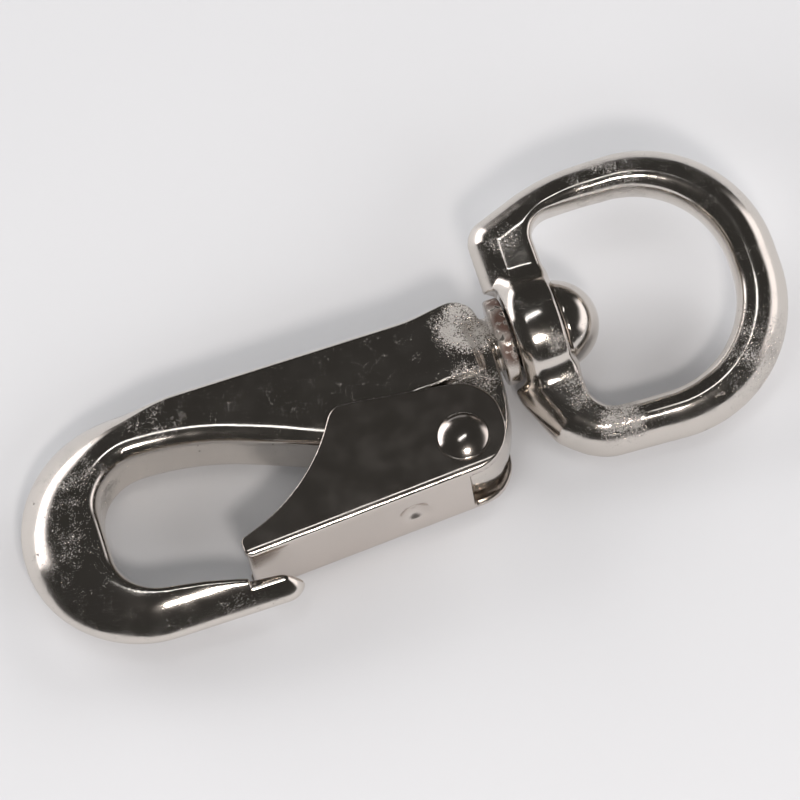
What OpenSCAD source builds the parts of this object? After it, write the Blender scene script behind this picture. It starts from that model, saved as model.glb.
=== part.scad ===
// Swivel snap hook: a cast hook body whose headed shank carries a D-shaped
// swivel ring, and a spring-loaded gate of folded sheet on a rivet.
// The origin is the centre of the round seat inside the bow. +X runs from the
// bow to the ring, +Y is the side of the solid spine and +Z is up.

/* [Hook body] */
// Thickness of the cast body
body_t = 8.9; // [8:0.1:12]
// Radius of the round seat inside the bow
seat_r = 9.4; // [7:0.1:12]
// Width of the bow at the back of the seat
bow_w = 10.9; // [9:0.1:14]
// Width of the bow where it runs into the spine
crown_w = 7.6; // [6.5:0.1:9]
// Radius of the outside of the bow
bow_r = 15.8; // [15:0.1:17]
// Distance from the seat's centre to the end of the body, where the ring sits
end_x = 45.6; // [42:0.1:60]
// Radius of the rounded end of the body, seen from above
end_r = 25.6; // [20:0.1:30]
// Radius of the hollow curve along the inner side of the spine
spine_curve_r = 60; // [45:1:90]
// Rounding of the body's outer edges
outer_edge = 3.4; // [1:0.1:3.8]
// Rounding of the edges inside the opening
inner_edge = 1.6; // [0.6:0.1:2]
// Length of the nose beyond the seat's centre
nose_x = 12.3; // [9:0.1:13]

/* [Gate] */
// Distance from the seat's centre to the gate's rivet, along the hook
pivot_x = 37.1; // [34:0.1:42]
// Distance from the seat's centre down to the gate's rivet
pivot_drop = 3; // [2:0.1:3.5]
// Length of the gate from its rivet to its tip
gate_len = 31.1; // [29:0.1:32]
// Distance from the rivet to the outer face of the gate's web
web_drop = 5.2; // [4.8:0.1:6]
// Radius of the cheeks' round end beside the rivet
cheek_r = 6.45; // [5.5:0.05:7]
// Thickness of the gate's sheet
sheet_t = 1; // [0.8:0.05:1.2]
// Gap between each cheek of the gate and the body
cheek_gap = 0.15; // [0.05:0.05:0.2]
// Slope of the closed gate's web to the hook's length, in degrees
gate_slope = 3.4; // [2:0.1:5]
// Furthest that the gate swings in, in degrees
gate_open = 24; // [18:1:26]
// Diameter of the dimple that holds the spring
dimple_d = 5.6; // [4.5:0.1:6]
// Height of the dimple on the inside of the web
dimple_h = 0.8; // [0.5:0.05:0.9]
// Distance from the rivet to the spring, along the gate
spring_x = 8.9; // [8:0.1:10]

/* [Rivet] */
// Diameter of the rivet's shank
rivet_d = 4; // [3:0.1:4.5]
// Diameter of the rivet's heads
rivet_head_d = 6.7; // [6:0.1:8]
// Height of the rivet's heads
rivet_head_h = 1.5; // [1:0.1:2]
// Radial play of the gate on the rivet
rivet_play = 0.05; // [0.02:0.01:0.1]

/* [Spring] */
// Outer diameter of the spring
spring_d = 4; // [3:0.1:4.4]
// Diameter of the spring's wire
wire_d = 0.55; // [0.4:0.05:0.7]
// Number of turns
spring_turns = 6; // [4:1:8]
// Depth of the spring's pocket in the body
pocket_depth = 5.6; // [4:0.1:7]
// Radial play of the spring in its pocket
spring_play = 0.3; // [0.15:0.05:0.5]

/* [Swivel] */
// Diameter of the shank
shank_d = 7.2; // [6:0.1:8]
// Diameter of the shank's domed head
head_d = 11.4; // [10:0.1:13]
// Height of the shank's domed head
head_h = 5.1; // [4:0.1:6]
// Diameter of the collar between the body and the ring
collar_d = 10.8; // [9:0.1:12]
// Length of the collar
collar_len = 1.8; // [1:0.1:3]
// Radial play of the ring on the shank
shank_play = 0.08; // [0.04:0.01:0.1]
// End play of the ring between the body and the head
end_play = 0.35; // [0.2:0.05:0.5]

/* [Ring] */
// Diameter of the ring's round section
ring_section = 6.2; // [5:0.1:7]
// Radius of the ring's bend, to the middle of its section
ring_r = 15.9; // [14:0.1:20]
// Length of the ring from the back of its hub to the outside of its bend
ring_len = 36.1; // [34:0.1:42]
// Radius of the ring's two corners, to the middle of its section
ring_corner_r = 6.5; // [4:0.1:8]
// Diameter of the hub around the shank
hub_d = 15; // [13:0.1:17]
// Width of the ring's flattened base, along the swivel's axis
base_w = 7.9; // [7:0.1:9]
// How far the base's shoulders reach past the hub, towards the body
shoulder = 1.6; // [0.5:0.1:2.5]

/* [Hidden] */
$fn = 96;
eps = 0.01;
// How far a cutter passes the faces that it cuts through
through = 1;

// Body: the bow's outer circle is eccentric to the seat, so the bow is
// thickest at its back and runs out into the spine and the nose. The rounded
// end, its groove and the swivel's axis are set from the seat's centre.
half_t = body_t / 2;
bow_x = bow_r - seat_r - bow_w;
spine_y = seat_r + crown_w;
bow_y = spine_y - bow_r;
nose_y = bow_y - bow_r;
nose_tip_r = 2.1;
end_edge = 0.6;
lug_reach = 2 * web_drop;
swivel_y = 10.9;
end_y = 6.9;
collar_room = 1.2;
groove_w = 2.4;
groove_d = 1.3;
groove_a = 60;
lip_w = 0.5;
recess_d = 0.6;
recess_y = 6.1;
recess_reach = web_drop + 1;
shank_root = 2;
tangent_a = 80;

// Gate: laid out flat from the rivet, with the web along -X, then turned by
// its slope. The web's inner face stops on the body's flank.
web_y = -web_drop;
web_in_y = web_y + sheet_t;
cheek_z = half_t + cheek_gap;
gate_z = cheek_z + sheet_t;
seat_gap = 0.3;
lug_gap = 0.5;
lug_end_r = 9.2;
lug_end_x = -1.1;
lug_end_y = 5.2;
lug_r = web_drop - sheet_t - lug_gap;
flank_a = gate_open + 3;
flank_x = 13.5;
flank_y = -lug_r * cos(flank_a) + tan(flank_a) * (flank_x - lug_r * sin(flank_a));
cheek_curve_r = 25.3;
cheek_curve_x = -37;
cheek_curve_y = 22.3;
cheek_x = -1.2;
cheek_y = cheek_r - web_drop;
cheek_corner_r = 3;
cheek_corner_x = -12.6;
cheek_corner_y = 7.1;
// Which way the line along the cheeks' top edge faces
cheek_top = [sin(12), cos(12)];
tip_r = 1.4;
tip_y = -2.2;
web_end_x = -0.8;
dimple_taper = 0.3;

// Spring: it stands square to the web, from the dimple into the pocket.
mouth_y = -lug_r * cos(flank_a) + tan(flank_a) * (spring_x - lug_r * sin(flank_a));
pocket_y = mouth_y + pocket_depth;
spring_gap = 0.05;
spring_low = web_in_y + dimple_h + spring_gap;
spring_len = pocket_y - spring_gap - spring_low;

// Swivel: the hub turns between the body's end and the head.
collar_x = end_x + collar_len;
hub_x = collar_x + end_play / 2;
bar_x = hub_x - shoulder + ring_section / 2;
bar_in_x = bar_x + base_w - ring_section;
bend_x = hub_x + ring_len - ring_section / 2 - ring_r;
hub_end_x = bar_in_x + ring_section / 2;
head_x = hub_end_x + end_play / 2;
corner_x = bar_x + ring_corner_r;
corner_y = ring_r - ring_corner_r;
// The ring leans on the surface that the hub's rim rests on.
ring_lean = asin((hub_d / 2 - ring_section / 2) / ring_r);

// A flat disc with rounded rims, centred on the mid-plane.
module rounded_disc(r, t, edge) {
    rotate_extrude() {
        square_half = t / 2;
        translate([0, -square_half]) square([r - edge, t]);
        translate([0, -square_half + edge]) square([r, t - 2 * edge]);
        for (s = [-1, 1]) translate([r - edge, s * (square_half - edge)]) circle(edge);
    }
}

// The section of a straight bar with rounded edges on one side, from y = 0 up
// to y = w, in the Y-Z plane.
module bar_section(w, t, edge) {
    translate([0, -t / 2]) square([w - edge, t]);
    translate([0, -t / 2 + edge]) square([w, t - 2 * edge]);
    for (s = [-1, 1]) translate([w - edge, s * (t / 2 - edge)]) circle(edge);
}

// A straight bar with rounded edges along its far side, from x0 to x1.
module bar(x0, x1, w, t, edge) {
    translate([x0, 0, 0]) rotate([90, 0, 90]) linear_extrude(x1 - x0) bar_section(w, t, edge);
}

// What rounds an edge at radius r when material lies outside that radius.
module inner_edge_ring(r, edge) {
    for (s = [-1, 1])
        rotate_extrude()
            difference() {
                translate([r - eps, s > 0 ? half_t - edge : -half_t - eps])
                    square([edge + eps, edge + eps]);
                translate([r + edge, s * (half_t - edge)]) circle(edge);
            }
}

// The outside of the body, without its opening.
module body_block() {
    translate([bow_x, bow_y, 0]) rounded_disc(bow_r, body_t, outer_edge);
    intersection() {
        translate([0, -lug_reach, 0])
            bar(bow_x, end_x, spine_y + lug_reach, body_t, outer_edge);
        union() {
            translate([bow_x, -lug_reach, -half_t])
                cube([pivot_x - bow_x, spine_y + lug_reach, body_t]);
            translate([end_x - end_r, end_y, 0]) rounded_disc(end_r, body_t, end_edge);
        }
    }
    translate([0, bow_y, 0]) mirror([0, 1, 0])
        bar(bow_x, nose_x - nose_tip_r, bow_r, body_t, outer_edge);
    translate([nose_x - nose_tip_r, nose_y + nose_tip_r, 0])
        rounded_disc(nose_tip_r, body_t, nose_tip_r - end_edge);
}

// The plan of what is cut away for the opening, up to the spine's curve.
module opening_plan() {
    circle(seat_r);
    // The room between the spine and the nose, out to the gate's side
    difference() {
        union() {
            intersection() {
                translate((seat_r - spine_curve_r) * [cos(tangent_a), sin(tangent_a)])
                    circle(spine_curve_r, $fn = 360);
                polygon([
                    [0, spine_y],
                    [pivot_x, spine_y],
                    [pivot_x, -2 * bow_r],
                    [nose_x, -2 * bow_r],
                    [nose_x, nose_seat(nose_x)],
                    [seat_end_x, nose_seat(seat_end_x)],
                    nose_tangent,
                    [0, 0],
                ]);
            }
            // The room for the gate's web, under the lug
            translate([pivot_x, -pivot_drop]) rotate(gate_slope)
                translate([-flank_x, -2 * lug_reach])
                    square([flank_x + lug_reach, 2 * lug_reach]);
        }
        lug_plan();
    }
}

// The nose's inner side: it runs off the seat's circle, then flat where the
// gate's web comes to rest.
nose_a = 21;
nose_tangent = seat_r * [-sin(nose_a), -cos(nose_a)];
function nose_seat(x) = -pivot_drop - (web_drop + seat_gap) / cos(gate_slope)
    + tan(gate_slope) * (x - pivot_x);
// Where that sloping side meets the flat
seat_end_x = (nose_tangent[1] + tan(nose_a) * nose_tangent[0] - nose_seat(0))
    / (tan(gate_slope) + tan(nose_a));

// The solid lug under the gate's cheeks, with the flank that stops the gate.
module lug_plan() {
    translate([pivot_x, -pivot_drop]) rotate(gate_slope) {
        circle(lug_r);
        polygon([
            lug_r * [-sin(flank_a), -cos(flank_a)],
            [-flank_x, flank_y],
            [-flank_x, lug_reach],
            [lug_reach, lug_reach],
            [lug_reach, lug_end_y],
            [0, lug_end_y],
        ]);
        intersection() {
            translate([lug_end_x, lug_end_y]) circle(lug_end_r);
            translate([0, -lug_r]) square([lug_reach, lug_end_y + lug_r]);
        }
    }
}

// The groove across both faces, just behind the body's end.
module end_groove() {
    groove_r = (groove_d * groove_d + groove_w * groove_w / 4) / (2 * groove_d);
    for (s = [-1, 1])
        translate([end_x - end_r, end_y, s * (half_t + groove_r - groove_d)])
            rotate([0, 0, -groove_a]) rotate_extrude(angle = 2 * groove_a, $fn = 180)
                translate([end_r - lip_w - groove_w / 2, 0]) circle(groove_r);
}

// The shallow recess beside the rivet, in both faces, from the lug to the
// groove.
module cheek_recess() {
    for (s = [-1, 1])
        translate([0, 0, s > 0 ? half_t - recess_d : -half_t - eps]) intersection() {
            translate([pivot_x - recess_reach, -lug_reach, 0])
                cube([end_x - pivot_x + recess_reach, recess_y + lug_reach, recess_d + eps]);
            translate([end_x - end_r, end_y, 0])
                cylinder(r = end_r - lip_w - groove_w / 2, h = recess_d + eps, $fn = 180);
        }
}

module hook_body() {
    color("lightgray") {
        difference() {
            body_block();
            translate([0, 0, -body_t]) linear_extrude(2 * body_t) opening_plan();
            inner_edge_ring(seat_r, inner_edge);
            cheek_recess();
            end_groove();
            translate([pivot_x, -pivot_drop, 0]) cylinder(d = rivet_d, h = 2 * body_t, center = true);
            translate([pivot_x, -pivot_drop, 0]) rotate(gate_slope)
                translate([-spring_x, mouth_y - 2 * lug_r, 0]) rotate([-90, 0, 0])
                    cylinder(d = spring_d + 2 * spring_play, h = pocket_depth + 2 * lug_r);
        }
        translate([end_x - shank_root, swivel_y, 0]) rotate([0, 90, 0]) {
            cylinder(d = shank_d, h = head_x - end_x + shank_root + eps);
            cylinder(d = collar_d, h = collar_x - end_x + shank_root);
        }
        translate([head_x, swivel_y, 0]) rotate([0, 90, 0]) shank_head();
    }
}

// The domed head that the shank's end is worked into.
module shank_head() {
    dome_r = (head_d * head_d / 4 + head_h * head_h) / (2 * head_h);
    rotate_extrude()
        intersection() {
            square([head_d, head_h]);
            translate([0, head_h - dome_r]) circle(dome_r);
        }
}

// One side of the ring: half of the bend, the straight side and the corner.
module ring_side() {
    translate([bend_x, 0, 0]) rotate_extrude(angle = 90)
        translate([ring_r, 0]) circle(d = ring_section);
    translate([bend_x, ring_r, 0]) rotate([0, -90, 0])
        cylinder(d = ring_section, h = bend_x - corner_x);
    translate([corner_x, corner_y, 0]) rotate([0, 0, 90]) rotate_extrude(angle = 90)
        translate([ring_corner_r, 0]) circle(d = ring_section);
}

// The flattened base between the ring's corners.
module ring_base() {
    translate([bar_x, 0, 0]) rotate([90, 0, 0])
        cylinder(d = ring_section, h = 2 * corner_y, center = true);
    translate([bar_in_x, 0, 0]) rotate([90, 0, 0])
        cylinder(d = ring_section, h = 2 * corner_y, center = true);
    translate([bar_x, -corner_y, -ring_section / 2])
        cube([bar_in_x - bar_x, 2 * corner_y, ring_section]);
    for (s = [-1, 1]) translate([bar_in_x, s * corner_y, 0]) sphere(d = ring_section);
}

module swivel_ring() {
    color("silver")
        translate([0, swivel_y, 0]) rotate([ring_lean, 0, 0]) difference() {
            union() {
                ring_side();
                mirror([0, 1, 0]) ring_side();
                ring_base();
                translate([hub_x, 0, 0]) rotate([0, 90, 0])
                    cylinder(d = hub_d, h = hub_end_x - hub_x);
            }
            translate([hub_x - through, 0, 0]) rotate([0, 90, 0])
                cylinder(d = shank_d + 2 * shank_play, h = hub_end_x - hub_x + 2 * through);
            translate([hub_x - 2 * shoulder, 0, 0]) rotate([0, 90, 0])
                cylinder(d = collar_d + 2 * collar_room, h = 2 * shoulder);
        }
}

// The outline of one cheek, from the rivet, with the web's outer face along
// its lower side.
module cheek_plan() {
    difference() {
        union() {
            translate([cheek_x, cheek_y]) circle(cheek_r);
            translate([cheek_corner_x, cheek_corner_y]) circle(cheek_corner_r);
            polygon([
                [cheek_x, web_y],
                [-gate_len + tip_r, web_y],
                [-gate_len, web_y + tip_r],
                [-gate_len, tip_y - tip_r],
                [-gate_len + tip_r, tip_y],
                [cheek_corner_x - cheek_corner_r, cheek_corner_y],
                cheek_corner_r * cheek_top + [cheek_corner_x, cheek_corner_y],
                cheek_r * cheek_top + [cheek_x, cheek_y],
            ]);
        }
        translate([cheek_curve_x, cheek_curve_y]) circle(cheek_curve_r, $fn = 180);
    }
}

module gate() {
    color("dimgray")
        translate([pivot_x, -pivot_drop, 0]) rotate(gate_slope) difference() {
            union() {
                for (s = [-1, 1])
                    translate([0, 0, s > 0 ? cheek_z : -gate_z]) linear_extrude(sheet_t) cheek_plan();
                translate([-gate_len + tip_r, web_y, -gate_z])
                    cube([gate_len - tip_r + web_end_x, sheet_t, 2 * gate_z]);
                spring_seat(dimple_h + sheet_t, dimple_d / 2 - dimple_taper);
            }
            cylinder(r = rivet_d / 2 + rivet_play, h = 3 * gate_z, center = true);
            translate([0, -eps, 0]) spring_seat(dimple_h, dimple_d / 2);
        }
}

// A round dome on the web's outer face, pressed inwards by h.
module spring_seat(h, r) {
    dome_r = (r * r + h * h) / (2 * h);
    translate([-spring_x, web_y, 0]) intersection() {
        translate([0, h - dome_r, 0]) sphere(dome_r);
        rotate([-90, 0, 0]) cylinder(r = r, h = h + eps);
    }
}

module gate_rivet() {
    color("gray") translate([pivot_x, -pivot_drop, 0]) {
        cylinder(d = rivet_d, h = 2 * (gate_z + rivet_play + eps), center = true);
        for (s = [0, 1]) mirror([0, 0, s]) translate([0, 0, gate_z + rivet_play]) rivet_head();
    }
}

// A low dome.
module rivet_head() {
    dome_r = (rivet_head_d * rivet_head_d / 4 + rivet_head_h * rivet_head_h) / (2 * rivet_head_h);
    rotate_extrude()
        intersection() {
            square([rivet_head_d, rivet_head_h]);
            translate([0, rivet_head_h - dome_r]) circle(dome_r);
        }
}

// Points of the spring's wire: rings of wire_sides points along the helix.
wire_sides = 8;
turn_steps = 20;
coil_r = (spring_d - wire_d) / 2;
coil_rise = spring_len - wire_d;
steps = spring_turns * turn_steps;
function coil_ring(i) = let(
        a = 360 * i / turn_steps,
        pitch_a = atan(coil_rise / (spring_turns * 2 * PI * coil_r)))
    [for (k = [0:wire_sides - 1]) let(
            b = 360 * k / wire_sides,
            out = wire_d / 2 * cos(b),
            up = wire_d / 2 * sin(b))
        [(coil_r + out) * cos(a) + up * sin(pitch_a) * sin(a),
         (coil_r + out) * sin(a) - up * sin(pitch_a) * cos(a),
         wire_d / 2 + coil_rise * i / steps + up * cos(pitch_a)]];

module gate_spring() {
    rings = [for (i = [0:steps]) coil_ring(i)];
    points = [for (r = rings) for (p = r) p];
    sides = [for (i = [0:steps - 1]) for (k = [0:wire_sides - 1]) let(
            k2 = (k + 1) % wire_sides)
        [i * wire_sides + k, i * wire_sides + k2,
         (i + 1) * wire_sides + k2, (i + 1) * wire_sides + k]];
    first = [[for (k = [wire_sides - 1:-1:0]) k]];
    last = [[for (k = [0:wire_sides - 1]) steps * wire_sides + k]];
    color("slategray")
        translate([pivot_x, -pivot_drop, 0]) rotate(gate_slope)
            translate([-spring_x, spring_low, 0]) rotate([-90, 0, 0])
                polyhedron(points, concat(sides, first, last), convexity = 10);
}

hook_body();
swivel_ring();
gate();
gate_rivet();
gate_spring();
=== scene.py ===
"""Swivel snap hook, nickel plated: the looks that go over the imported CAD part.

Each piece is a solid described by its distance function, in millimetres in
the CAD's own frame, and skinned with an even mesh. The castings have the soft
fillets of a sand mould, and the gate has the bends of pressed sheet.
"""

import math

import bpy
import numpy as np
from bpy.props import FloatProperty, FloatVectorProperty, PointerProperty
from mathutils import Matrix, Vector


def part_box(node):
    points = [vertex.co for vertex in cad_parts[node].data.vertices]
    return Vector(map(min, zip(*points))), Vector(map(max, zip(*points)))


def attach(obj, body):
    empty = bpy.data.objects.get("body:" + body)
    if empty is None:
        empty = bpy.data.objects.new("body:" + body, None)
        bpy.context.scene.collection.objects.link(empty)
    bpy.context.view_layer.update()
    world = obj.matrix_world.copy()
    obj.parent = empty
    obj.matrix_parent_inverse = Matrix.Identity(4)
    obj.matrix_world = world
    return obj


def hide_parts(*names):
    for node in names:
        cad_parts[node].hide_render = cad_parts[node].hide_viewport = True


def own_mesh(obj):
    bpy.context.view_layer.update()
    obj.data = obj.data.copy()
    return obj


bl_info = {
    "name": "Swivel snap hook",
    "version": (1, 0, 0),
    "blender": (4, 5, 0),
    "location": "View3D > Sidebar > Snap Hook",
    "description": "Builds a nickel-plated swivel snap hook on its CAD frame",
    "category": "Add Mesh",
}

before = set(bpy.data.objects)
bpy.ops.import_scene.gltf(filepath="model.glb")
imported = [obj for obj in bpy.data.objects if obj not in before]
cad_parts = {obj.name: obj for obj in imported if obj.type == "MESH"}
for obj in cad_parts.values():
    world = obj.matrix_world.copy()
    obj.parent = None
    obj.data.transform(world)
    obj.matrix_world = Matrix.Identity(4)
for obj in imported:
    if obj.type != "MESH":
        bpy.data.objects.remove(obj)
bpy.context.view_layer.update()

MM = 0.001
# Rounding of the castings' parting line
PARTING_R = 0.4
FAR = 1e6


# ---------------------------------------------------------------- distances
def meet(a, b, r):
    """What is inside both a and b, with their shared edge rounded to r."""
    corner = np.hypot(np.maximum(a + r, 0), np.maximum(b + r, 0))
    return np.minimum(np.maximum(a, b), -r) + corner


def join(a, b, r):
    """What is inside a or b, with a fillet of radius r where they meet."""
    return -meet(-a, -b, r)


def cut(a, b, r):
    """a without b, with the new edge rounded to r."""
    return meet(a, -b, r)


def unit(v):
    return v / np.hypot(*v)


def outline(corners, x, y):
    """Distance in the plan to a closed outline of straight runs and rounded
    corners, negative inside. corners run anticlockwise as (x, y, radius).
    """
    points = [np.array(c[:2], float) for c in corners]
    runs, best, signed = [], FAR, 0.0

    def nearer(gap, side):
        nonlocal best, signed
        closer = gap < best
        signed = np.where(closer, gap * side, signed)
        best = np.minimum(best, gap)

    for i, (point, (_, _, radius)) in enumerate(zip(points, corners)):
        back = unit(points[i - 1] - point)
        on = unit(points[(i + 1) % len(points)] - point)
        half = math.acos(np.clip(back @ on, -1, 1)) / 2
        reach = radius / math.tan(half)
        middle = unit(back + on)
        centre = point + middle * radius / math.sin(half)
        convex = back[0] * on[1] - back[1] * on[0] < 0
        dx, dy = x - centre[0], y - centre[1]
        rad = np.hypot(dx, dy)
        facing = -(dx * middle[0] + dy * middle[1]) >= rad * math.sin(half)
        gap = np.where(facing, np.abs(rad - radius), FAR)
        nearer(gap, np.sign(rad - radius) * (1 if convex else -1))
        runs.append((point + back * reach, point + on * reach))
    for (_, start), (stop, _) in zip(runs, runs[1:] + runs[:1]):
        length = np.hypot(*(stop - start))
        along = (stop - start) / max(length, 1e-9)
        dx, dy = x - start[0], y - start[1]
        t = dx * along[0] + dy * along[1]
        off = dx * along[1] - dy * along[0]
        past = np.maximum(np.maximum(-t, t - length), 0)
        nearer(np.hypot(off, past), np.sign(off))
    return signed


def crowned(z, half, plan, slope_width):
    """A plate with that outline, whose faces slope down over slope_width to a
    softened parting line at mid-thickness.
    """
    flat = np.hypot(z, PARTING_R) - PARTING_R
    share = np.maximum(1 + plan / slope_width, 0)
    height = half * (1 - share ** 2)
    slope = 2 * half / slope_width * share
    return (flat - height) / np.sqrt(1 + slope ** 2)


def cylinder_x(x, y, z, x0, x1, radius, edge):
    """A cylinder along X about y = z = 0, with its rims rounded to edge."""
    return meet(np.abs(x - (x0 + x1) / 2) - (x1 - x0) / 2,
                np.hypot(y, z) - radius, edge)


def dome_x(x, y, z, x0, radius, height, edge):
    """A dome that rises along +X from a flat base at x0."""
    ball = (radius ** 2 + height ** 2) / (2 * height)
    round_side = np.sqrt((x - x0 - height + ball) ** 2 + y ** 2 + z ** 2) - ball
    return meet(round_side, x0 - x, edge)


def turned(x, y, cx, cy, degrees):
    """Coordinates about (cx, cy) on axes turned by degrees."""
    c, s = math.cos(math.radians(degrees)), math.sin(math.radians(degrees))
    return (x - cx) * c + (y - cy) * s, (y - cy) * c - (x - cx) * s


def smooth(value, low, high):
    """0 below low, 1 above high, and a smooth rise between."""
    t = np.clip((value - low) / (high - low), 0, 1)
    return t * t * (3 - 2 * t)


# -------------------------------------------------------------------- skins
def slopes(distance, p, step=0.02):
    """The distance at points p, and the direction it grows in."""
    grads = []
    for axis in range(3):
        ahead, behind = p.copy(), p.copy()
        ahead[:, axis] += step
        behind[:, axis] -= step
        grads.append(distance(*ahead.T) - distance(*behind.T))
    grad = np.stack(grads, 1) / (2 * step)
    return distance(*p.T), grad


def onto_surface(distance, p, reach):
    """Moves points p onto the surface, by at most reach."""
    value, grad = slopes(distance, p)
    size = np.maximum((grad ** 2).sum(1), 0.05)
    move = grad * (value / size)[:, None]
    length = np.sqrt((move ** 2).sum(1))[:, None]
    return p - move * np.minimum(1, reach / np.maximum(length, 1e-9))


def skin(distance, low, high, step, evening=3):
    """Vertices and quads of the surface where distance is 0, on a grid of
    cells of that step: one vertex per cell that the surface crosses.
    """
    axes = [np.arange(a - 2 * step, b + 3 * step, step) for a, b in zip(low, high)]
    value = distance(*np.ix_(*axes))
    inside = np.broadcast_to(value, [len(a) for a in axes]) < 0
    cells = [n - 1 for n in inside.shape]
    corners = sum(inside[i:i + cells[0], j:j + cells[1], k:k + cells[2]].astype(np.int8)
                  for i in (0, 1) for j in (0, 1) for k in (0, 1))
    crossed = (corners > 0) & (corners < 8)
    number = np.full(cells, -1)
    number[crossed] = np.arange(crossed.sum())
    where = np.argwhere(crossed)
    p = np.stack([axes[a][where[:, a]] + step / 2 for a in range(3)], 1)
    quads = []
    for axis in range(3):
        u, v = [a for a in range(3) if a != axis]
        turned_in = np.swapaxes(inside, 0, axis)
        edge = np.argwhere(np.swapaxes(turned_in[:-1] != turned_in[1:], 0, axis))
        edge = edge[(edge[:, u] > 0) & (edge[:, v] > 0)]
        ring = []
        for du, dv in ((0, 0), (1, 0), (1, 1), (0, 1)):
            at = edge.copy()
            at[:, u] -= du
            at[:, v] -= dv
            ring.append(number[tuple(at.T)])
        ring = np.stack(ring, 1)
        out = inside[tuple(edge.T)]
        flip = out if axis == 1 else ~out
        ring[flip] = ring[flip][:, ::-1]
        quads.append(ring)
    quads = np.concatenate(quads)
    here, after = quads.ravel(), np.roll(quads, -1, 1).ravel()
    one, other = np.concatenate([here, after]), np.concatenate([after, here])
    degree = np.bincount(one, minlength=len(p))[:, None]
    p = onto_surface(distance, p, step)
    for _ in range(evening):
        mean = np.stack([np.bincount(one, p[other, i], len(p)) for i in range(3)], 1) / degree
        p = onto_surface(distance, mean, step)
    return onto_surface(distance, p, step), quads


def mesh_piece(name, points, faces, normals=None):
    """A smooth-shaded object from points in millimetres."""
    mesh = bpy.data.meshes.new(name)
    mesh.from_pydata((np.asarray(points) * MM).tolist(), [], list(faces))
    mesh.validate()
    mesh.shade_smooth()
    if normals is not None and len(mesh.vertices) == len(normals):
        mesh.normals_split_custom_set_from_vertices(normals.tolist())
    piece = bpy.data.objects.new(name, mesh)
    bpy.context.scene.collection.objects.link(piece)
    return piece


def skinned(name, distance, low, high, step):
    """An object on the surface of a solid given by its distance function."""
    points, quads = skin(distance, low, high, step)
    _, grad = slopes(distance, points)
    normals = grad / np.maximum(np.sqrt((grad ** 2).sum(1)), 1e-9)[:, None]
    return mesh_piece(name, points, quads.tolist(), normals)


# ---------------------------------------------------------------- materials
def linear(hex_colour):
    """An sRGB hex colour as linear RGBA."""
    parts = [int(hex_colour[i:i + 2], 16) / 255 for i in (1, 3, 5)]
    return tuple(c / 12.92 if c <= 0.04045 else ((c + 0.055) / 1.055) ** 2.4
                 for c in parts) + (1.0,)


def add(tree, kind, inputs=(), out=0, **settings):
    """Adds a node with its settings, feeds its inputs with values or sockets,
    and returns one of its outputs.
    """
    node = tree.nodes.new("ShaderNode" + kind)
    for key, value in settings.items():
        setattr(node, key, value)
    for key, value in inputs.items() if isinstance(inputs, dict) else enumerate(inputs):
        if isinstance(value, bpy.types.NodeSocket):
            tree.links.new(value, node.inputs[key])
        else:
            node.inputs[key].default_value = value
    return node.outputs[out] if node.outputs else None


def patches(tree, where, spots):
    """The strength at the middle of each spot, fading to 0 at its edge.
    A spot is (x, y, z, radius in mm, strength).
    """
    total = 0.0
    for x, y, z, radius, strength in spots:
        middle = (x * MM, y * MM, z * MM)
        away = add(tree, "VectorMath", (where, middle), "Value", operation="DISTANCE")
        spot = add(tree, "MapRange", (away, radius * MM, radius * 0.35 * MM, 0.0, strength),
                   interpolation_type="SMOOTHSTEP")
        total = add(tree, "Math", (spot, total), operation="MAXIMUM")
    return total


# Noises in the plate: how far apart their lumps are in millimetres, detail
# and roughness. The mould's sand is about 0.35 mm, drawn coarser to show.
PATTERNS = {
    "sand": (0.55, 4.0, 0.7),
    "fleck": (0.17, 2.0, 0.6),
    "drift": (2.4, 2.0, 0.5),
    "waves": (7.0, 2.0, 0.5),
    "cloud": (16.0, 3.0, 0.5),
    "mottle": (0.9, 4.0, 0.5),
    "wear": (3.0, 5.0, 0.5),
    "buffing": (0.8, 3.0, 0.5),
}
PIT_SPACING = 1.3
GRAIN, STAIN, PIT = "#c4bfba", "#58433b", "#2b2724"


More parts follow.
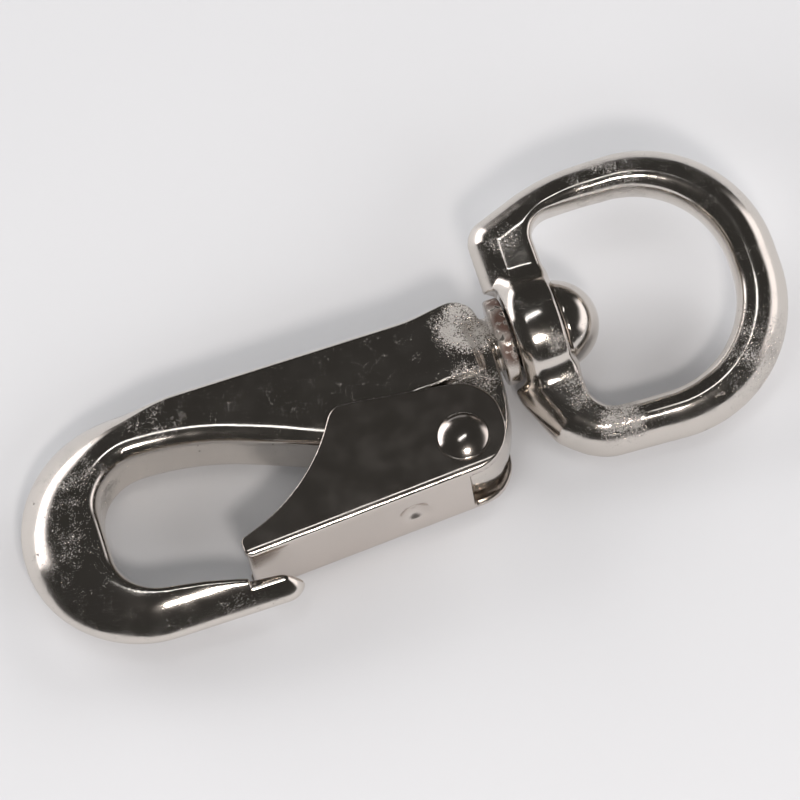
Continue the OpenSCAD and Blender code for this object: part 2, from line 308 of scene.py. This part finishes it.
def plated(name, plate, shade, smoothness, waviness, grain_spots=(), pit_spots=(),
           stain_spots=()):
    """Polished metal, plated or bare. It mirrors its surroundings with the
    plate's tint. Polishing leaves slow waves of that height in millimetres,
    the plate keeps the odd pit, and where the wheel didn't reach, the mould's
    grain shows through.
    """
    material = bpy.data.materials.new(name)
    material.use_nodes = True
    tree = material.node_tree
    tree.nodes.clear()
    where = add(tree, "TexCoord", out="Object")
    noise = {}
    for pattern, (size, detail, rough) in PATTERNS.items():
        noise[pattern] = add(tree, "TexNoise", {
            "Vector": where, "Scale": 1 / (size * MM), "Detail": detail, "Roughness": rough})
    grainy = stain = pit = pit_shade = sanded = None
    if grain_spots:
        # Flecks thin out towards the edge of each grainy spot
        edge = patches(tree, where, grain_spots)
        for pattern, strength in (("fleck", 2.6), ("drift", 1.1)):
            about_zero = add(tree, "Math", (noise[pattern], 0.5), operation="SUBTRACT")
            edge = add(tree, "Math", (about_zero, strength, edge), operation="MULTIPLY_ADD")
        grainy = add(tree, "MapRange", (edge, 0.5, 1.15), interpolation_type="SMOOTHSTEP")
        sanded = add(tree, "Math", (noise["sand"], grainy), operation="MULTIPLY")
    if stain_spots:
        mottled = add(tree, "MapRange", (noise["mottle"], 0.3, 0.5),
                      interpolation_type="SMOOTHSTEP")
        stain = add(tree, "Math", (patches(tree, where, stain_spots), mottled),
                    operation="MULTIPLY")
    if pit_spots:
        # Some cells of a pattern hold a pit, and the rest hold none
        cells = add(tree, "TexVoronoi", {"Vector": where, "Scale": 1 / (PIT_SPACING * MM)},
                    "Distance")
        picked = add(tree, "SeparateColor", (cells.node.outputs["Color"],))
        picked = add(tree, "Math", (picked, 0.86), operation="GREATER_THAN")
        pit = add(tree, "MapRange", (cells, 0.16, 0.05), interpolation_type="SMOOTHSTEP")
        for share in (picked, patches(tree, where, pit_spots)):
            pit = add(tree, "Math", (pit, share), operation="MULTIPLY")
        pit_shade = add(tree, "Math", (pit, 0.7), operation="MULTIPLY")

    clouded = add(tree, "MapRange", (noise["cloud"], 0.35, 0.7, 0.0, 0.15),
                  interpolation_type="SMOOTHSTEP")
    colour = tuple(plate)
    for share, tint in ((clouded, tuple(shade)), (grainy, linear(GRAIN)),
                        (stain, linear(STAIN)), (pit_shade, linear(PIT))):
        if share is not None:
            colour = add(tree, "Mix", {0: share, 6: colour, 7: tint}, 2, data_type="RGBA")

    rough = add(tree, "MapRange", (noise["wear"], 0.3, 0.75, smoothness, smoothness + 0.09),
                interpolation_type="SMOOTHSTEP")
    for share, more in ((grainy, 0.3), (stain, 0.4)):
        if share is not None:
            rough = add(tree, "Math", (share, more, rough), operation="MULTIPLY_ADD")

    height = 0.0
    for share, depth in ((noise["waves"], waviness), (noise["buffing"], 0.006),
                         (sanded, 0.2), (pit, -0.1)):
        if share is not None:
            height = add(tree, "Math", (share, depth * MM, height), operation="MULTIPLY_ADD")
    bump = add(tree, "Bump", {"Strength": 1.0, "Distance": 1.0, "Height": height})

    # Grain and stain are dulled, so they scatter light as well as mirror it
    metal = 1.0
    for share, dulled in ((grainy, 0.6), (stain, 0.7)):
        if share is not None:
            bare = add(tree, "Math", (share, -dulled, 1.0), operation="MULTIPLY_ADD")
            metal = add(tree, "Math", (bare, metal), operation="MINIMUM")
    shader = add(tree, "BsdfPrincipled", {
        "Metallic": metal, "Base Color": colour, "Roughness": rough, "Normal": bump})
    add(tree, "OutputMaterial", (shader,))
    # Patterns that this piece has no use for are taken away
    for pattern in noise.values():
        if not pattern.is_linked:
            tree.nodes.remove(pattern.node)
    return material


# --------------------------------------------------------------- properties
class SnapHookBody(bpy.types.PropertyGroup):
    """The cast body, with its shank and head."""
    thickness: FloatProperty(
        name="Thickness", description="Thickness of the cast body",
        default=8.9 * MM, min=8 * MM, max=12 * MM, unit="LENGTH", precision=4)
    outer_edge: FloatProperty(
        name="Outer edge", description="Width of the rounded outer edges",
        default=2.2 * MM, min=1.4 * MM, max=3 * MM, unit="LENGTH", precision=4)
    inner_edge: FloatProperty(
        name="Inner edge", description="Rounding of the opening's edges",
        default=1.7 * MM, min=0.6 * MM, max=2 * MM, unit="LENGTH", precision=4)
    plate: FloatVectorProperty(
        name="Plate", description="Colour of the plate on the castings",
        default=linear("#dad4cd"), size=4, min=0, max=1, subtype="COLOR")
    shade: FloatVectorProperty(
        name="Shade", description="Colour of the castings' clouded patches",
        default=linear("#c9c0b8"), size=4, min=0, max=1, subtype="COLOR")


class SnapHookRing(bpy.types.PropertyGroup):
    """The swivel ring."""
    section: FloatProperty(
        name="Section", description="Height of the ring's section",
        default=6.2 * MM, min=5 * MM, max=7 * MM, unit="LENGTH", precision=4)
    lean: FloatProperty(
        name="Lean", description="How far the ring leans onto what it lies on",
        default=math.radians(16.3), min=0, max=math.radians(25), subtype="ANGLE")


class SnapHookGate(bpy.types.PropertyGroup):
    """The pressed gate, its rivet and its spring."""
    sheet: FloatProperty(
        name="Sheet", description="Thickness of the gate's sheet",
        default=1.0 * MM, min=0.7 * MM, max=1.2 * MM, unit="LENGTH", precision=4)
    bend: FloatProperty(
        name="Bend", description="Outer radius of the sheet's bends",
        default=1.3 * MM, min=0.9 * MM, max=2 * MM, unit="LENGTH", precision=4)
    plate: FloatVectorProperty(
        name="Plate", description="Colour of the plate on the gate and the rivet",
        default=linear("#d6cec7"), size=4, min=0, max=1, subtype="COLOR")
    shade: FloatVectorProperty(
        name="Shade", description="Colour of the gate's clouded patches",
        default=linear("#c6bdb5"), size=4, min=0, max=1, subtype="COLOR")
    wire: FloatVectorProperty(
        name="Wire", description="Colour of the spring's wire",
        default=linear("#8f8b86"), size=4, min=0, max=1, subtype="COLOR")


GROUPS = {"snap_body": SnapHookBody, "snap_ring": SnapHookRing, "snap_gate": SnapHookGate}

# Places in the frame, in millimetres
PIVOT = (37.1, -3.0)
GATE_SLOPE = 3.4
SWIVEL_Y = 10.9
END_X = 45.6
END_R = 25.6
END_Y = 6.9
# The spring's axis and the gate's cheeks, from the pivot and mid-thickness
SPRING_GX = -8.9
CHEEK_Z = 4.6


# ---------------------------------------------------------------- hook body
BODY_OUTER = [(-20.3, -14.7, 15.8), (13.4, -14.7, 2.6), (12.2, -9.6, 0.5), (34.0, -8.0, 2.0),
              (44.6, -7.0, 8.6), (46.6, 17.1, 2.0), (-20.3, 17.5, 15.8)]
BODY_OPENING = [(-9.5, -8.4, 6.4), (1.0, -10.2, 12.0), (6.6, -11.5, 5.0), (13.5, -12.4, 0.5),
                (14.0, -20.0, 1.0), (60.0, -20.0, 1.0), (60.0, -6.9, 1.0), (37.2, -7.0, 1.0),
                (35.6, -6.5, 2.0), (23.4, -1.0, 0.6), (23.4, 1.6, 0.6), (4.2, 9.5, 36.0),
                (-9.5, 9.7, 6.6)]
# Where the mould's grain, the pits and the stain show: (x, y, z, radius, strength)
BODY_GRAIN = [(42.3, 12.4, 4.4, 6.0, 0.95), (41.0, 4.2, 4.4, 4.5, 0.6), (-10.5, 8.4, 4.0, 9.0, 0.26),
              (-15.1, 1.3, 4.0, 7.0, 0.22), (0.0, 14.0, 4.4, 7.0, 0.2), (-8.3, 8.0, 0.0, 4.0, 0.7),
              (44.5, 11.0, -4.4, 7.0, 1.0), (-12.0, -4.0, -4.4, 9.0, 0.4)]
BODY_PITS = [(26.3, 10.5, 4.4, 12.0, 1.0), (-13.0, 5.0, 4.0, 12.0, 1.0),
             (5.0, 13.0, 4.4, 10.0, 1.0), (20.0, 10.0, -4.4, 14.0, 1.0)]
BODY_STAIN = [(47.4, 10.9, 5.6, 3.6, 1.0), (47.4, 7.0, 4.4, 3.6, 1.0), (47.4, 14.6, 4.4, 3.2, 1.0)]
# How much wider the slope is on the crowned bow, and how much less near the
# nose and at the body's end
CROWN_WIDER, CROWN_LESS_AT_NOSE, LESS_AT_END = 5.2, 1.6, 1.2
# The nose's ground face: where it stands as (y, z), its direction and limits
GROUND_Y, GROUND_Z = -12.6, 2.8
GROUND_TO_Y, GROUND_TO_Z = 0.34, 0.94
GROUND_FROM_X, GROUND_BELOW_Y = 6.0, -8.2
# The recess beside the rivet, and the lip and groove round the body's end
RECESS_DEPTH, RECESS_GX, RECESS_GY = 0.55, -7.0, 8.6
LIP = 2.0
GROOVE_IN, GROOVE_OVER, GROOVE_R = 1.9, 0.35, 1.45
GROOVE_FROM_X, GROOVE_BELOW_Y = 38, 13
POCKET_R, POCKET_FROM, POCKET_TO = 2.3, -8, 5.0
SHANK_R, SHANK_FROM, SHANK_TO = 3.6, 43.0, 56.0
COLLAR_R, COLLAR_SUNK, COLLAR_H = 5.7, 0.2, 1.8
HEAD_X, HEAD_R, HEAD_H = 54.05, 5.75, 5.1


def body_distance(x, y, z):
    sizes = bpy.context.scene.snap_body
    half = sizes.thickness / MM / 2
    flat = np.abs(z)
    end = np.hypot(np.maximum(x - (END_X - END_R), 0), y - END_Y)
    plan = meet(outline(BODY_OUTER, x, y), end - END_R, 3.0)
    # The bow is crowned, and the spine and the body's end are flat
    crown = (1 - smooth(x, -13, 4) * smooth(y, -5, 4)) * (1 - smooth(x, 13, 20))
    crown_width = CROWN_WIDER - CROWN_LESS_AT_NOSE * smooth(-y, 7, 13)
    slope_width = sizes.outer_edge / MM + crown * crown_width - LESS_AT_END * smooth(x, 34, 42)
    block = crowned(z, half, plan, slope_width)
    # The opening's edge is rounder along the spine and crisper at the nose
    inner_edge = sizes.inner_edge / MM + 0.6 * smooth(y, 2, 7) - 0.7 * smooth(-y, 6, 10)
    body = cut(block, outline(BODY_OPENING, x, y), inner_edge)
    # The nose's seat is ground down where the gate's tip comes to rest
    ground = (flat - GROUND_Z) * GROUND_TO_Z + (y - GROUND_Y) * GROUND_TO_Y
    ground = meet(-ground, GROUND_FROM_X - x, 0.15)
    body = cut(body, meet(ground, y - GROUND_BELOW_Y, 0.15), 0.3)
    # The recess beside the rivet, with a soft step along the spine
    gx, gy = turned(x, y, *PIVOT, GATE_SLOPE)
    recess = meet(gy - RECESS_GY, RECESS_GX - gx, 1.5)
    recess = meet(recess, half - RECESS_DEPTH - flat, 0.2)
    body = cut(body, meet(recess, end - (END_R - LIP), 0.3), 0.25)
    # The groove along the rounded end leaves a thin lip
    groove = np.hypot(end - (END_R - GROOVE_IN), flat - half - GROOVE_OVER) - GROOVE_R
    groove = meet(groove, GROOVE_FROM_X - x, 1.0)
    body = cut(body, meet(groove, y - GROOVE_BELOW_Y, 1.0), 0.45)
    # Room for the spring
    pocket = meet(np.hypot(gx - SPRING_GX, z) - POCKET_R, gy - POCKET_TO, 0.3)
    body = cut(body, meet(pocket, POCKET_FROM - gy, 0.3), 0.3)
    # Shank, its collar and its domed head
    ys = y - SWIVEL_Y
    shank = cylinder_x(x, ys, z, SHANK_FROM, SHANK_TO, SHANK_R, 0.2)
    collar = cylinder_x(x, ys, z, END_X - COLLAR_SUNK, END_X + COLLAR_H, COLLAR_R, 0.4)
    head = dome_x(x, ys, z, HEAD_X, HEAD_R, HEAD_H, 0.8)
    return join(body, join(join(shank, collar, 0.3), head, 0.4), 0.5)


class OBJECT_OT_snap_hook_body(bpy.types.Operator):
    """Builds the cast body with its shank and head"""
    bl_idname = "object.snap_hook_body"
    bl_label = "Hook body"

    def execute(self, context):
        colours = context.scene.snap_body
        body = skinned("cast_hook_body", body_distance, (-20.6, -15, -6), (60, 17.8, 6), 0.36)
        # Bright nickel on a sand casting that was ground and polished
        body.data.materials.append(plated(
            "nickel_plate_on_polished_casting", colours.plate, colours.shade, 0.10, 0.06,
            BODY_GRAIN, BODY_PITS, BODY_STAIN))
        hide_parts("hook_body")
        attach(body, "hook")
        return {"FINISHED"}


# --------------------------------------------------------------------- ring
RING_OUTER = [(46.0, -8.0, 6.0), (48.9, -14.8, 4.0), (53.4, -18.6, 9.0), (83.7, -20.1, 18.0),
              (83.7, 19.3, 17.6), (57.4, 19.1, 28.0), (46.0, 15.0, 3.4)]
RING_INNER = [(54.6, -12.7, 3.4), (77.3, -13.1, 12.6), (77.3, 13.1, 12.6), (54.0, 14.1, 3.0)]
RING_GRAIN = [(50.5, 21.5, 6.0, 3.4, 0.4), (53.5, 0.5, 2.0, 4.0, 0.6), (57.5, -4.0, -1.0, 4.5, 0.8),
              (52.5, 5.5, 5.5, 2.6, 0.5), (66.0, 24.0, 3.0, 9.0, 0.45), (76.0, 0.0, -2.0, 8.0, 0.4)]
RING_PITS = [(50.0, 18.0, 5.0, 8.0, 1.0), (70.0, 0.0, -3.0, 14.0, 1.0)]
RING_SLOPE_WIDTH = 4.2
# The hub is a barrel that is widest near its middle and tapers to the collar
HUB_FROM, HUB_TO, HUB_R = 46.9, 53.9, 7.5
HUB_WIDEST_X, HUB_BARREL = 51, 0.04
HUB_TAPER_X, HUB_TAPER = 49.6, 0.22
COLLAR_ROOM_R, COLLAR_ROOM_TO = 6.6, 47.6
BORE_R, BORE_X, BORE_REACH = 3.7, 50, 9


def ring_distance(x, y, z):
    sizes = bpy.context.scene.snap_ring
    across, up = turned(y, z, SWIVEL_Y, 0, math.degrees(sizes.lean))
    half = sizes.section / MM / 2
    band = crowned(up, half, outline(RING_OUTER, x, across), RING_SLOPE_WIDTH)
    # The eye's edge is nearly round along the arms, and crisper at the base
    inner_edge = 1.3 + (half - 1.35) * smooth(x, 54, 62)
    band = cut(band, outline(RING_INNER, x, across), inner_edge)
    # The hub's barrel round the shank, the room for the collar and the bore
    away = np.hypot(across, up)
    barrel = HUB_R - HUB_BARREL * (x - HUB_WIDEST_X) ** 2
    barrel = barrel - HUB_TAPER * np.maximum(HUB_TAPER_X - x, 0) ** 2
    band = join(band, cylinder_x(x, across, up, HUB_FROM, HUB_TO, barrel, 0.5), 1.5)
    band = cut(band, meet(away - COLLAR_ROOM_R, x - COLLAR_ROOM_TO, 0.2), 0.25)
    return cut(band, meet(away - BORE_R, np.abs(x - BORE_X) - BORE_REACH, 0.1), 0.3)


class OBJECT_OT_snap_hook_ring(bpy.types.Operator):
    """Builds the swivel ring"""
    bl_idname = "object.snap_hook_ring"
    bl_label = "Swivel ring"

    def execute(self, context):
        colours = context.scene.snap_body
        ring = skinned("cast_swivel_ring", ring_distance, (45.5, -8.5, -8), (84, 30, 9), 0.36)
        # The same plate as on the body, over a casting that was polished less
        ring.data.materials.append(plated(
            "nickel_plate_on_cast_ring", colours.plate, colours.shade, 0.11, 0.06,
            RING_GRAIN, RING_PITS))
        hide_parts("swivel_ring")
        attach(ring, "ring")
        return {"FINISHED"}


# --------------------------------------------------------------------- gate
CHEEK = [(6.5, -9.75, 0.9), (42.9, -7.7, 5.9), (42.6, 4.0, 5.9), (22.6, 6.9, 2.6),
         (16.3, -3.6, 25.0), (6.4, -7.1, 0.9)]
WEB_GY = -5.2
DIMPLE_R, DIMPLE_OUTSIDE, DIMPLE_INSIDE = 3.0, 1.2, 0.7
# The web stops short of the pivot, where the lug passes between the cheeks
SLOT_GX, SLOT_Z = -1.0, 4.3


def gate_distance(x, y, z):
    sizes = bpy.context.scene.snap_gate
    gx, gy = turned(x, y, *PIVOT, GATE_SLOPE)
    flat = np.abs(z)
    sheet = sizes.sheet / MM
    bend = sizes.bend / MM
    # The spring's dimple, pressed in from outside with steep sides
    reach = np.hypot(gx - SPRING_GX, z) / DIMPLE_R
    dimple = smooth(-reach, -1, -0.15)
    above = gy - WEB_GY
    outer = meet(flat - (CHEEK_Z + sheet), DIMPLE_OUTSIDE * dimple - above, bend)
    inner = meet(flat - CHEEK_Z, sheet + DIMPLE_INSIDE * dimple - above, bend - sheet + 0.1)
    channel = meet(np.maximum(outer, -inner), outline(CHEEK, x, y), 0.28)
    slot = meet(SLOT_GX - gx, flat - SLOT_Z, 0.4)
    return cut(channel, slot, 0.25)


class OBJECT_OT_snap_hook_gate(bpy.types.Operator):
    """Builds the pressed gate"""
    bl_idname = "object.snap_hook_gate"
    bl_label = "Gate"

    def execute(self, context):
        colours = context.scene.snap_gate
        gate = skinned("pressed_gate", gate_distance, (6, -10, -6), (43, 7, 6), 0.27)
        # Rolled sheet is flatter than a casting, so its plate hardly waves
        gate.data.materials.append(plated(
            "nickel_plate_on_pressed_sheet", colours.plate, colours.shade, 0.15, 0.012))
        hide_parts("gate")
        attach(gate, "gate")
        return {"FINISHED"}


# -------------------------------------------------------- rivet and spring
WIRE_SHADE = "#77736e"


def lathe(profile, sides):
    """Points and faces of a profile of (radius, height) turned about Z."""
    turn = np.arange(sides) * 2 * math.pi / sides
    radius, height = np.array(profile).T
    points = [(0, 0, height[0]), (0, 0, height[-1])]
    points += [(r * math.cos(a), r * math.sin(a), h)
               for r, h in zip(radius[1:-1], height[1:-1]) for a in turn]
    rows = len(profile) - 2
    faces = []
    for k in range(sides):
        k2 = (k + 1) % sides
        faces.append((0, 2 + k2, 2 + k))
        for row in range(rows - 1):
            low, high = 2 + row * sides, 2 + (row + 1) * sides
            faces.append((low + k, low + k2, high + k2, high + k))
        faces.append((1, 2 + (rows - 1) * sides + k, 2 + (rows - 1) * sides + k2))
    return np.array(points, float), faces


class OBJECT_OT_snap_hook_rivet(bpy.types.Operator):
    """Builds the gate's rivet"""
    bl_idname = "object.snap_hook_rivet"
    bl_label = "Rivet"

    def execute(self, context):
        colours = context.scene.snap_gate
        head_r, head_h, under = 3.3, 1.45, 5.66
        ball = (head_r ** 2 + head_h ** 2) / (2 * head_h)
        top = under + head_h - ball
        sweep = math.acos((ball - head_h) / ball)
        # The profile runs down the head's dome, round its rim and in to the stem
        dome = [(ball * math.sin(a), top + ball * math.cos(a))
                for a in np.linspace(0, sweep, 18)]
        rim = [(head_r + 0.05, under + 0.12), (head_r - 0.05, under), (2.0, under)]
        side = dome + rim
        profile = [(r, -h) for r, h in side] + [(r, h) for r, h in reversed(side)]
        points, faces = lathe(profile, 72)
        points[:, :2] += PIVOT
        rivet = mesh_piece("domed_rivet", points, faces)
        # A drawn steel rivet, plated in the same bath as the gate
        rivet.data.materials.append(plated(
            "nickel_plate_on_steel_rivet", colours.plate, colours.shade, 0.14, 0.03))
        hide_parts("gate_rivet")
        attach(rivet, "hook")
        return {"FINISHED"}


class OBJECT_OT_snap_hook_spring(bpy.types.Operator):
    """Builds the gate's coil spring"""
    bl_idname = "object.snap_hook_spring"
    bl_label = "Spring"

    def execute(self, context):
        low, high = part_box("gate_spring")
        low, high = low / MM, high / MM
        wire, turns, sides, steps = 0.275, 6, 12, 40
        coil = (high.z - low.z) / 2 - wire
        lean = Matrix.Rotation(math.radians(GATE_SLOPE), 3, "Z")
        middle = Vector(((low.x + high.x) / 2, (low.y + high.y) / 2, 0))
        length = (high.y - low.y) - 2 * wire - 0.3
        points, faces = [], []
        for i in range(turns * steps + 1):
            a = 2 * math.pi * i / steps
            along = i / (turns * steps)
            # The first and last turns are closed up
            rise = length * (smooth(along, 0.06, 0.94) * 0.35 + 0.65 * along) - length / 2
            for k in range(sides):
                b = 2 * math.pi * k / sides
                r = coil + wire * math.cos(b)
                p = Vector((r * math.cos(a), rise + wire * math.sin(b), r * math.sin(a)))
                points.append(tuple(middle + lean @ p))
        for here in range(0, turns * steps * sides, sides):
            after = here + sides
            for k in range(sides):
                k2 = (k + 1) % sides
                faces.append((here + k, after + k, after + k2, here + k2))
        faces.append(tuple(range(sides)))
        faces.append(tuple(turns * steps * sides + k for k in reversed(range(sides))))
        spring = mesh_piece("coil_spring", points, faces)
        # Bare hard-drawn wire, duller and greyer than the plate
        spring.data.materials.append(plated(
            "drawn_spring_steel", context.scene.snap_gate.wire, linear(WIRE_SHADE), 0.28, 0.02))
        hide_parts("gate_spring")
        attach(spring, "hook")
        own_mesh(spring)
        return {"FINISHED"}


# -------------------------------------------------------------------- stage
def softbox(name, size, place, aim, power, colour, in_gloss=True):
    """A rectangular light at place, turned towards aim. Sizes in metres."""
    light = bpy.data.lights.new(name, "AREA")
    light.shape = "RECTANGLE"
    light.size, light.size_y = size
    light.energy = power
    light.color = linear(colour)[:3]
    lamp = bpy.data.objects.new(name, light)
    lamp.location = place
    lamp.rotation_euler = (Vector(aim) - Vector(place)).to_track_quat("-Z", "Y").to_euler()
    lamp.visible_glossy = in_gloss
    bpy.context.scene.collection.objects.link(lamp)


class OBJECT_OT_snap_hook_stage(bpy.types.Operator):
    """Adds the pale floor, the soft lights and the camera"""
    bl_idname = "object.snap_hook_stage"
    bl_label = "Stage"

    def execute(self, context):
        scene = context.scene
        scene.view_settings.view_transform = "Standard"
        # The hook rests on its bow and on the rim of the ring's hub
        bow, hub = Vector((-14, 0, -4.46)) * MM, Vector((50, 0, -7.52)) * MM
        tilt = math.atan2(bow.z - hub.z, hub.x - bow.x)
        floor_mesh = bpy.data.meshes.new("pale_floor")
        w = 1.6
        square = [(-w, -w, 0), (w, -w, 0), (w, w, 0), (-w, w, 0)]
        floor_mesh.from_pydata(square, [], [(0, 1, 2, 3)])
        floor = bpy.data.objects.new("pale_floor", floor_mesh)
        floor.location = bow
        floor.rotation_euler = (0, tilt, 0)
        scene.collection.objects.link(floor)
        # A board painted matt in a very pale cool grey
        material = bpy.data.materials.new("matt_painted_board")
        material.use_nodes = True
        tree = material.node_tree
        tree.nodes.clear()
        where = add(tree, "TexCoord", out="Object")
        cloud = add(tree, "TexNoise", {"Vector": where, "Scale": 1 / (90 * MM), "Detail": 2.0})
        colour = add(tree, "Mix", {0: cloud, 6: linear("#d6d6d8"), 7: linear("#cfcfd2")}, 2,
                     data_type="RGBA")
        shader = add(tree, "BsdfPrincipled", {"Base Color": colour, "Roughness": 0.6})
        add(tree, "OutputMaterial", (shader,))
        floor_mesh.materials.append(material)

        world = bpy.data.worlds.new("studio")
        scene.world = world
        world.use_nodes = True
        tree = world.node_tree
        tree.nodes.clear()
        towards = add(tree, "TexCoord", out="Generated")
        east = add(tree, "SeparateXYZ", (towards,))
        north, height = east.node.outputs["Y"], east.node.outputs["Z"]
        # A white card stands low at the back left, a dimmer one at the right,
        # and the rest of the room is dark
        low = add(tree, "MapRange", (height, 0.42, 0.2), interpolation_type="SMOOTHSTEP")
        bearing = add(tree, "Math", (north, east), operation="ARCTAN2")
        cards = 0.0
        for begins, full, still_full, ends, share in (
                (1.72, 1.95, 2.76, 2.86, 1.0), (-0.75, -0.45, 0.35, 0.65, 0.6)):
            card = add(tree, "MapRange", (bearing, begins, full), interpolation_type="SMOOTHSTEP")
            far_side = add(tree, "MapRange", (bearing, ends, still_full, 0.0, share),
                           interpolation_type="SMOOTHSTEP")
            cards = add(tree, "Math", (card, far_side, cards), operation="MULTIPLY_ADD")
        bright = add(tree, "Math", (low, cards), operation="MULTIPLY")
        colour = add(tree, "Mix", {0: bright, 6: linear("#383735"), 7: linear("#fffafa")}, 2,
                     data_type="RGBA")
        strength = add(tree, "Math", (bright, 2.4, 1.0), operation="MULTIPLY_ADD")
        back = add(tree, "Background", {"Color": colour, "Strength": strength})
        add(tree, "OutputWorld", (back,))

        # Large soft sources low on all sides, so that the floor darkens only
        # where the hook shuts it in
        middle = (0.03, 0, 0)
        for k, turn in enumerate((35, 125, 215, 305)):
            a = math.radians(turn)
            place = (0.03 + 0.75 * math.cos(a), 0.75 * math.sin(a), 0.36)
            softbox(f"side_fill_{k}", (0.7, 0.4), place, middle, 3.6, "#ffffff", in_gloss=False)
        softbox("top_fill", (1.2, 1.2), (0.0, 0.0, 1.2), middle, 2.0, "#ffffff", in_gloss=False)
        softbox("strip", (0.34, 0.08), (0.0, 0.06, 0.72), (0.02, 0, 0), 0.26, "#ffffff")
        softbox("front_lamp", (0.11, 0.08), (0.03, -0.45, 0.5), middle, 1.6, "#fff8f2")

        # The camera looks down from the gate's side, and is rolled a little
        azimuth, elevation, roll = [math.radians(a) for a in (-6.84, 62.8, -11.79)]
        back_dir = Vector((math.sin(azimuth) * math.cos(elevation),
                           -math.cos(azimuth) * math.cos(elevation), math.sin(elevation)))
        level = Vector((math.cos(azimuth), math.sin(azimuth), 0))
        steep = back_dir.cross(level)
        right = level * math.cos(roll) + steep * math.sin(roll)
        up = steep * math.cos(roll) - level * math.sin(roll)
        aim = Vector((31.0, 0, 0)) * MM - right * 1.7734 * MM + up * 6.4051 * MM
        camera = bpy.data.cameras.new("camera")
        camera.lens = 200
        camera.clip_start = 0.01
        eye = bpy.data.objects.new("camera", camera)
        place = Matrix.Translation(aim + back_dir * 0.5646)
        eye.matrix_world = place @ Matrix((right, up, back_dir)).transposed().to_4x4()
        scene.collection.objects.link(eye)
        scene.camera = eye
        return {"FINISHED"}


class VIEW3D_PT_snap_hook(bpy.types.Panel):
    """Sizes and builders of the snap hook."""
    bl_label = "Snap Hook"
    bl_space_type = "VIEW_3D"
    bl_region_type = "UI"
    bl_category = "Snap Hook"

    def draw(self, context):
        for name, group in GROUPS.items():
            box = self.layout.box()
            for prop in group.__annotations__:
                box.prop(getattr(context.scene, name), prop)
        for operator in BUILDERS:
            self.layout.operator(operator.bl_idname)


BUILDERS = [OBJECT_OT_snap_hook_body, OBJECT_OT_snap_hook_ring, OBJECT_OT_snap_hook_gate,
            OBJECT_OT_snap_hook_rivet, OBJECT_OT_snap_hook_spring, OBJECT_OT_snap_hook_stage]


def register():
    for cls in (*GROUPS.values(), *BUILDERS, VIEW3D_PT_snap_hook):
        bpy.utils.register_class(cls)
    for name, group in GROUPS.items():
        setattr(bpy.types.Scene, name, PointerProperty(type=group))


def unregister():
    for name in GROUPS:
        delattr(bpy.types.Scene, name)
    for cls in (VIEW3D_PT_snap_hook, *BUILDERS, *GROUPS.values()):
        bpy.utils.unregister_class(cls)


def main():
    register()
    for operator in BUILDERS:
        group, name = operator.bl_idname.split(".")
        getattr(getattr(bpy.ops, group), name)()


if __name__ == "__main__":
    main()
